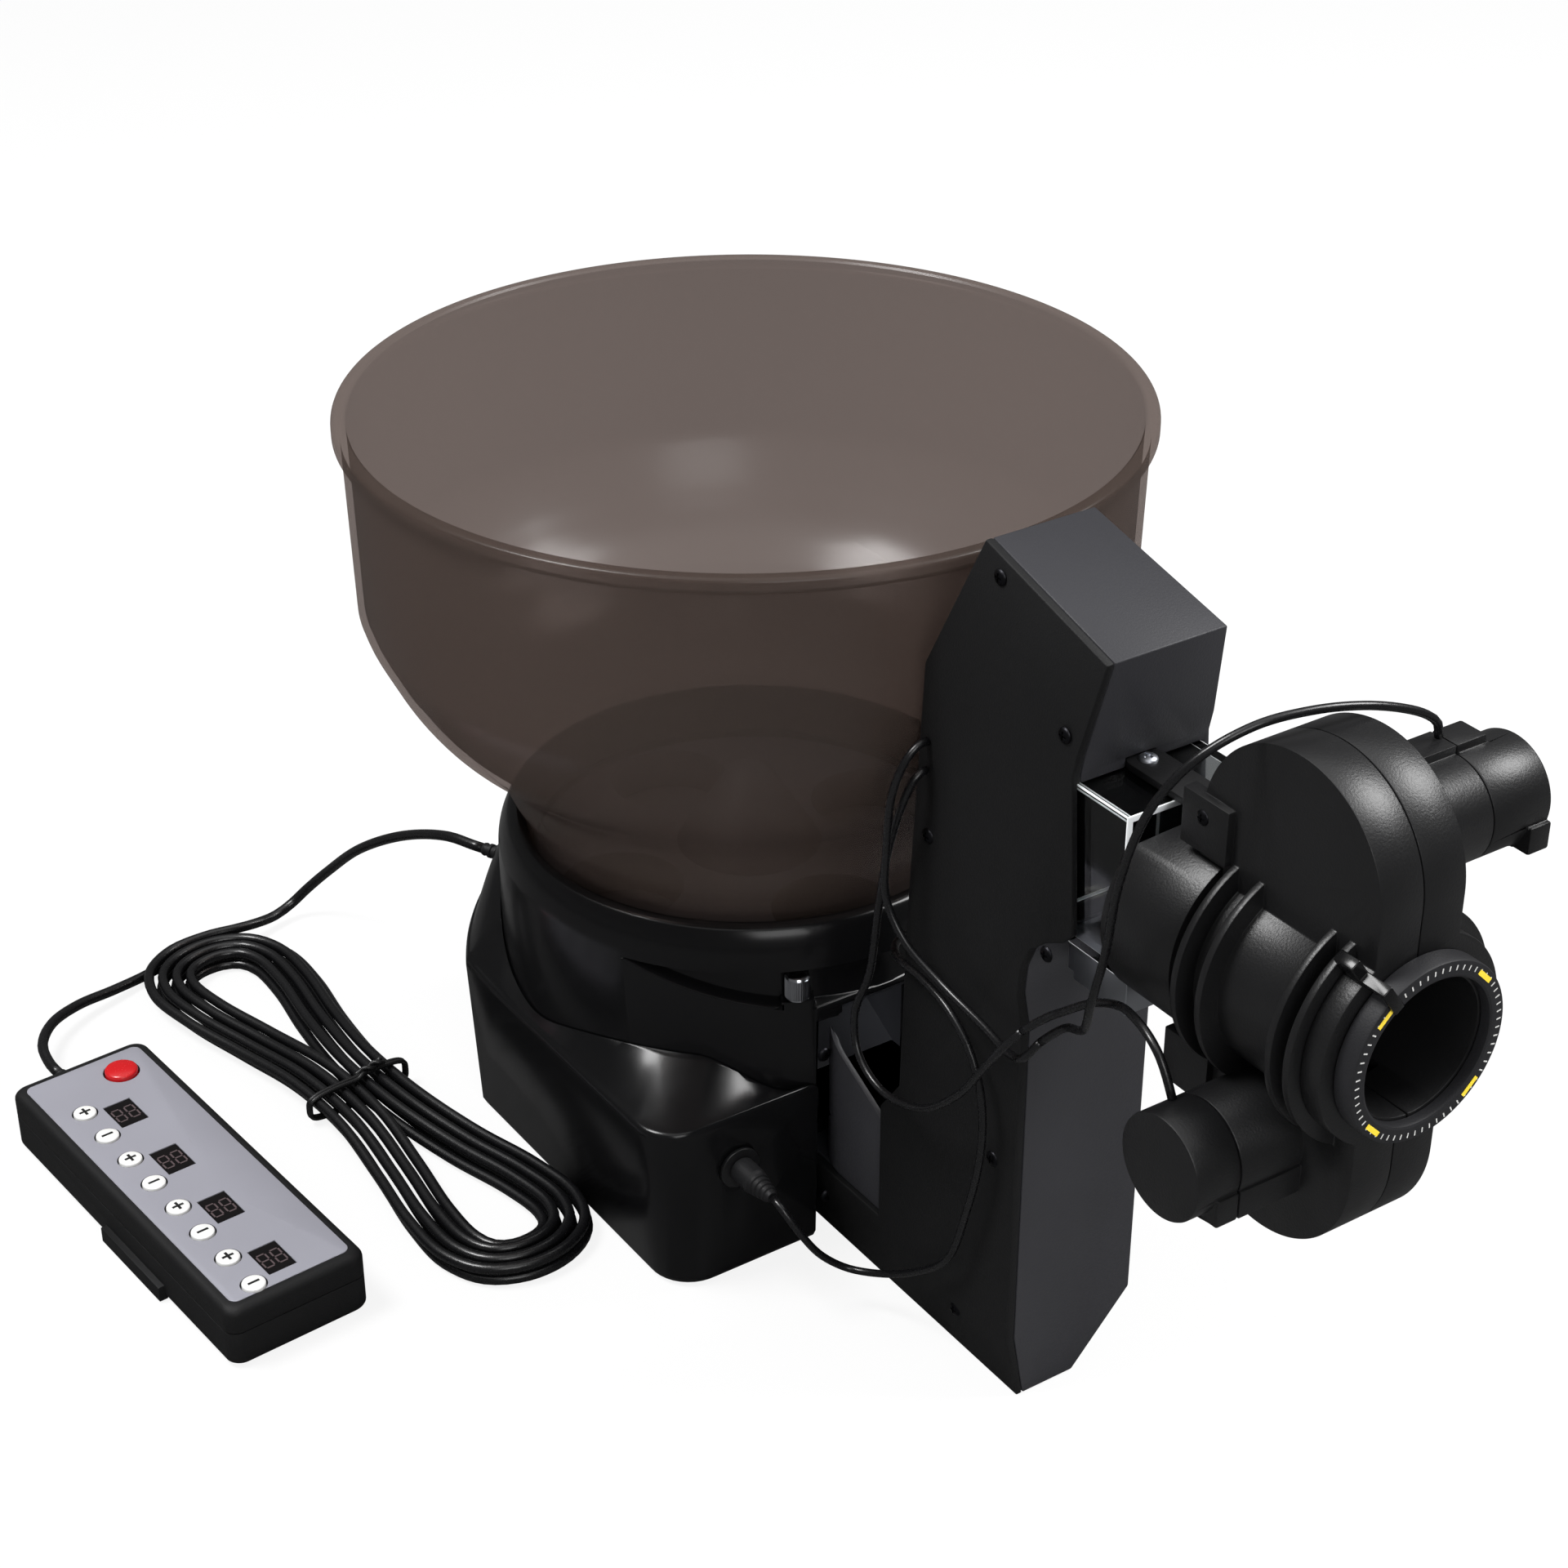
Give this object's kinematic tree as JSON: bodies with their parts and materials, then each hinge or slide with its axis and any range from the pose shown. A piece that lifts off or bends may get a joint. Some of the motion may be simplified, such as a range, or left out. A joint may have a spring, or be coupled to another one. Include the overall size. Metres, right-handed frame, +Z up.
{
  "type": "table tennis robot",
  "caption": "Free-standing ball thrower with a round hopper, lift duct, swinging launch head with driven wheels, and a wired controller.",
  "frame": {"origin": "on the floor under the hopper's axis, on the underside of the base's bottom plate", "axes": "+Z up, -Y the way the balls are launched, +X to the right seen from the launch side"},
  "size_m": [0.3748, 0.5354, 0.296],
  "materials": {
    "gloss_black": "gloss black moulded plastic",
    "satin_black": "satin black moulded plastic",
    "charcoal": "satin charcoal moulded plastic",
    "smoke": "smoked translucent plastic",
    "clear_plastic": "clear polished acrylic",
    "grey_plastic": "mid grey moulded plastic",
    "inner_plastic": "dark grey moulded plastic",
    "white_plastic": "white moulded plastic",
    "red_plastic": "red moulded plastic",
    "board": "green coated circuit board",
    "steel": "plated steel",
    "chrome": "knurled bright chrome",
    "rubber": "black rubber",
    "cable": "black flexible cable sheath, slightly glossy"
  },
  "bodies": {
    "chassis": {"base_lower_shell": "gloss_black", "base_upper_shell": "gloss_black", "hank_tie": "gloss_black", "base_bottom_plate": "satin_black", "dc_jack": "satin_black", "duct_left_cover": "satin_black", "controller_lower_case": "satin_black", "feed_pot": "charcoal", "duct_body": "charcoal", "clear_box": "clear_plastic", "controller_upper_case": "grey_plastic", "feed_floor": "inner_plastic", "turn_guide": "inner_plastic", "circuit_board": "board", "controller_board": "board", "feed_gear_motor": "steel", "swing_motor": "steel", "foot_pad_1": "rubber", "foot_pad_2": "rubber", "foot_pad_3": "rubber", "foot_pad_4": "rubber", "dc_plug": "rubber", "base_relief": "rubber", "lift_belt": "rubber", "controller_relief": "rubber", "cord_hank": "cable", "controller_cord": "cable", "base_cord": "cable", "upper_lead_inner": "cable", "lower_lead_inner": "cable", "plug_lead": "cable"},
    "hopper": {"hopper_bowl": "smoke"},
    "rotor": {"feed_rotor": "inner_plastic"},
    "screw": {"thumb_screw": "chrome"},
    "drum": {"lift_drum": "steel"},
    "idler": {"lift_idler": "steel"},
    "swing": {"launch_socket": "satin_black"},
    "head": {"head_shell_left": "satin_black", "head_shell_right": "satin_black", "upper_motor": "steel", "lower_motor": "steel", "upper_motor_cap": "satin_black", "lower_motor_cap": "satin_black", "dial_clip": "gloss_black", "upper_lead_outer": "cable", "lower_lead_outer": "cable"},
    "upper_wheel": {"upper_wheel_hub": "white_plastic", "upper_wheel_tyre": "rubber"},
    "lower_wheel": {"lower_wheel_hub": "white_plastic", "lower_wheel_tyre": "rubber"},
    "dial": {"dial_ring": "satin_black"},
    "red_key": {"red_button": "red_plastic"},
    "key_1": {"button_1": "white_plastic"},
    "key_2": {"button_2": "white_plastic"},
    "key_3": {"button_3": "white_plastic"},
    "key_4": {"button_4": "white_plastic"},
    "key_5": {"button_5": "white_plastic"},
    "key_6": {"button_6": "white_plastic"},
    "key_7": {"button_7": "white_plastic"},
    "key_8": {"button_8": "white_plastic"}
  },
  "joints": [
    {"name": "hopper_lift", "type": "slide", "parent": "chassis", "child": "hopper", "axis": [0, 0, 1], "range_m": [0, 0.03]},
    {"name": "rotor_spin", "type": "hinge", "parent": "chassis", "child": "rotor", "pos_m": [0, 0, 0.1], "axis": [0, 0, 1], "continuous": true},
    {"name": "thumb_screw_turn", "type": "hinge", "parent": "chassis", "child": "screw", "pos_m": [-0.0335, -0.08, 0.105], "axis": [0, 0, 1], "continuous": true},
    {"name": "drum_spin", "type": "hinge", "parent": "chassis", "child": "drum", "pos_m": [0, -0.1788, 0.136], "axis": [1, 0, 0], "continuous": true},
    {"name": "idler_spin", "type": "hinge", "parent": "chassis", "child": "idler", "pos_m": [0, -0.1788, 0.04], "axis": [1, 0, 0], "continuous": true},
    {"name": "head_swing", "type": "hinge", "parent": "chassis", "child": "swing", "pos_m": [0, -0.208, 0.209], "axis": [0, 0, 1], "range_deg": [-15, 15]},
    {"name": "head_spin", "type": "hinge", "parent": "swing", "child": "head", "pos_m": [0, -0.28, 0.209], "axis": [0, 1, 0], "range_deg": [-90, 90]},
    {"name": "upper_wheel_spin", "type": "hinge", "parent": "head", "child": "upper_wheel", "pos_m": [-0.001, -0.2835, 0.25], "axis": [1, 0, 0], "continuous": true},
    {"name": "lower_wheel_spin", "type": "hinge", "parent": "head", "child": "lower_wheel", "pos_m": [-0.001, -0.2835, 0.168], "axis": [1, 0, 0], "continuous": true},
    {"name": "dial_turn", "type": "hinge", "parent": "head", "child": "dial", "pos_m": [0, -0.321, 0.209], "axis": [0, 1, 0], "continuous": true},
    {"name": "red_press", "type": "slide", "parent": "chassis", "child": "red_key", "axis": [0, 0, -1], "range_m": [0, 0.0015], "stiffness_N_per_m": 300, "springref_m": -0.0005},
    {"name": "press_1", "type": "slide", "parent": "chassis", "child": "key_1", "axis": [0, 0, -1], "range_m": [0, 0.0008], "stiffness_N_per_m": 300, "springref_m": -0.0005},
    {"name": "press_2", "type": "slide", "parent": "chassis", "child": "key_2", "axis": [0, 0, -1], "range_m": [0, 0.0008], "stiffness_N_per_m": 300, "springref_m": -0.0005},
    {"name": "press_3", "type": "slide", "parent": "chassis", "child": "key_3", "axis": [0, 0, -1], "range_m": [0, 0.0008], "stiffness_N_per_m": 300, "springref_m": -0.0005},
    {"name": "press_4", "type": "slide", "parent": "chassis", "child": "key_4", "axis": [0, 0, -1], "range_m": [0, 0.0008], "stiffness_N_per_m": 300, "springref_m": -0.0005},
    {"name": "press_5", "type": "slide", "parent": "chassis", "child": "key_5", "axis": [0, 0, -1], "range_m": [0, 0.0008], "stiffness_N_per_m": 300, "springref_m": -0.0005},
    {"name": "press_6", "type": "slide", "parent": "chassis", "child": "key_6", "axis": [0, 0, -1], "range_m": [0, 0.0008], "stiffness_N_per_m": 300, "springref_m": -0.0005},
    {"name": "press_7", "type": "slide", "parent": "chassis", "child": "key_7", "axis": [0, 0, -1], "range_m": [0, 0.0008], "stiffness_N_per_m": 300, "springref_m": -0.0005},
    {"name": "press_8", "type": "slide", "parent": "chassis", "child": "key_8", "axis": [0, 0, -1], "range_m": [0, 0.0008], "stiffness_N_per_m": 300, "springref_m": -0.0005}
  ],
  "couplings": [
    {"joint": "idler_spin", "follows": "drum_spin", "ratio": 1}
  ]
}
